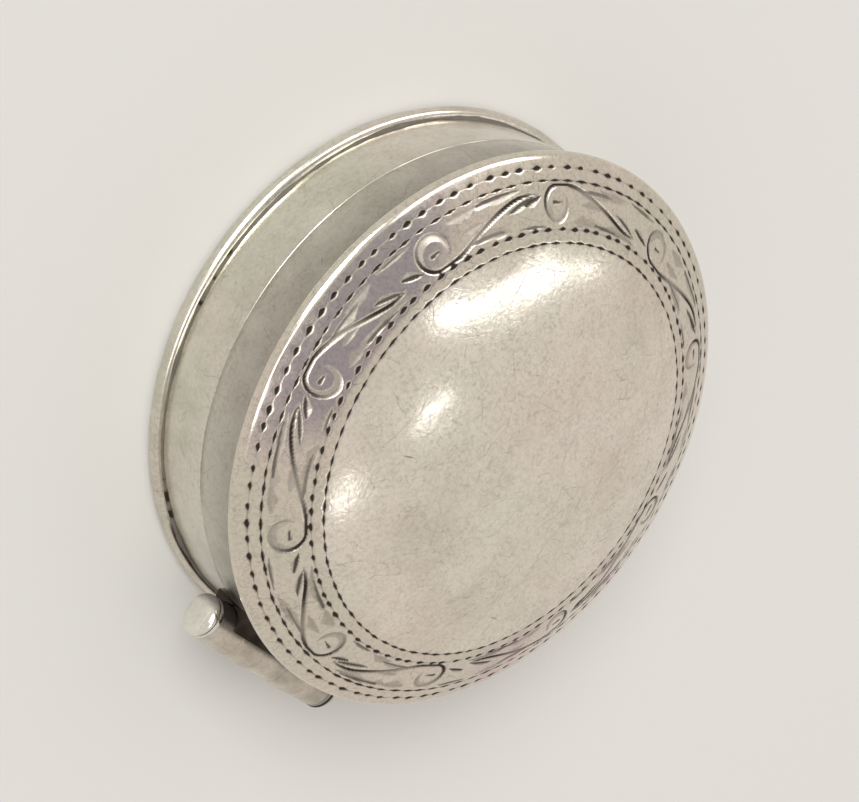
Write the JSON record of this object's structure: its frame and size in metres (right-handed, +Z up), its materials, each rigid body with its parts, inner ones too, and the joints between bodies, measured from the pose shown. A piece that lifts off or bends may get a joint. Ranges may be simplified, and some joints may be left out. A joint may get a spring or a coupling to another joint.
{
  "type": "pill box",
  "caption": "Small round silver pill box with a domed, engraved lid, plain bands, projecting rims and a barrel hinge with domed caps.",
  "frame": {"origin": "centre of the base's flat underside, on the axis of the round body", "axes": "+Z up out of the lid, +Y towards the hinge at the back, +X to the right along the hinge's pin; the lid is closed"},
  "size_m": [0.034, 0.0357, 0.0125],
  "materials": {
    "cover_silver": "polished silver with fine scratches and light tarnish, dark in the engraving",
    "band_silver": "polished silver, handled and slightly tarnished",
    "collar_silver": "bright polished silver",
    "hinge_silver": "polished silver with dark tarnish in the corners",
    "pin_metal": "drawn wire, dull"
  },
  "bodies": {
    "base": {"base_plate": "band_silver", "base_band": "band_silver", "inner_collar": "collar_silver", "base_hinge_bearer": "hinge_silver", "base_knuckle_left": "hinge_silver", "base_knuckle_centre": "hinge_silver", "base_knuckle_right": "hinge_silver", "hinge_pin": "pin_metal", "hinge_cap_left": "hinge_silver", "hinge_cap_right": "hinge_silver"},
    "lid": {"lid_cover": "cover_silver", "lid_band": "band_silver", "lid_hinge_bearer": "hinge_silver", "lid_knuckle_left": "hinge_silver", "lid_knuckle_right": "hinge_silver"}
  },
  "joints": [
    {"name": "lid_hinge", "type": "hinge", "parent": "base", "child": "lid", "pos_m": [0, 0.01735, 0.00487], "axis": [-1, 0, 0], "range_deg": [0, 110]}
  ]
}
